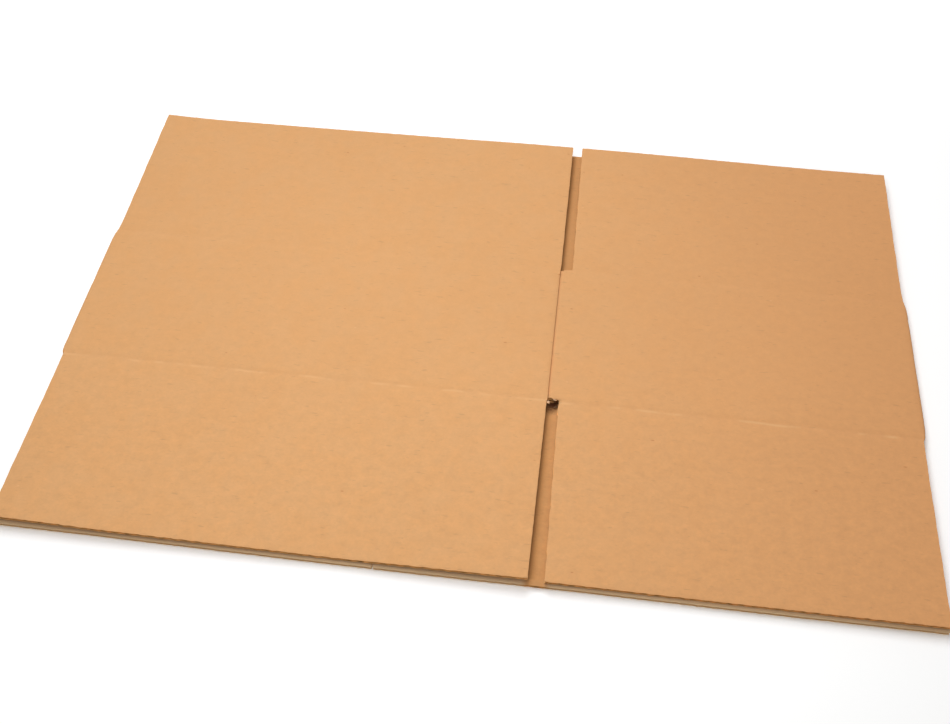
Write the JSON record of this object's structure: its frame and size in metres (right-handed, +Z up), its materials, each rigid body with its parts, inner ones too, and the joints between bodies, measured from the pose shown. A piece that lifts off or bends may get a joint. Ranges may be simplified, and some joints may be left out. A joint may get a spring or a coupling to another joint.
{
  "type": "flattened cardboard box",
  "caption": "Slotted corrugated carton glued along one seam and folded flat, with the upper flaps hinged at their creases.",
  "frame": {"origin": "on the surface that the flat pack lies on, under the middle of its outline", "axes": "+X along the row of wall panels from the wide upper panel to the narrow one, +Y along the flutes from front to rear, +Z up through the layers"},
  "size_m": [0.5344, 0.327, 0.0098],
  "materials": {
    "kraft_board": "matte brown kraft corrugated board"
  },
  "bodies": {
    "sleeve": {"folded_wall": "kraft_board"},
    "front_wide_flap": {"front_wide_flap": "kraft_board"},
    "rear_wide_flap": {"rear_wide_flap": "kraft_board"},
    "front_narrow_flap": {"front_narrow_flap": "kraft_board"},
    "rear_narrow_flap": {"rear_narrow_flap": "kraft_board"}
  },
  "joints": [
    {"name": "front_wide_flap_hinge", "type": "hinge", "parent": "sleeve", "child": "front_wide_flap", "pos_m": [-0.2648, -0.0495, 0.0066], "axis": [-0.9999, 0, -0.0104], "range_deg": [0, 110]},
    {"name": "rear_wide_flap_hinge", "type": "hinge", "parent": "sleeve", "child": "rear_wide_flap", "pos_m": [-0.2648, 0.0515, 0.0066], "axis": [0.9999, 0, 0.0104], "range_deg": [0, 110]},
    {"name": "front_narrow_flap_hinge", "type": "hinge", "parent": "sleeve", "child": "front_narrow_flap", "pos_m": [0.2648, -0.0495, 0.0066], "axis": [-1, 0, 0.0086], "range_deg": [0, 110]},
    {"name": "rear_narrow_flap_hinge", "type": "hinge", "parent": "sleeve", "child": "rear_narrow_flap", "pos_m": [0.2648, 0.0515, 0.0066], "axis": [1, 0, -0.0086], "range_deg": [0, 110]}
  ]
}
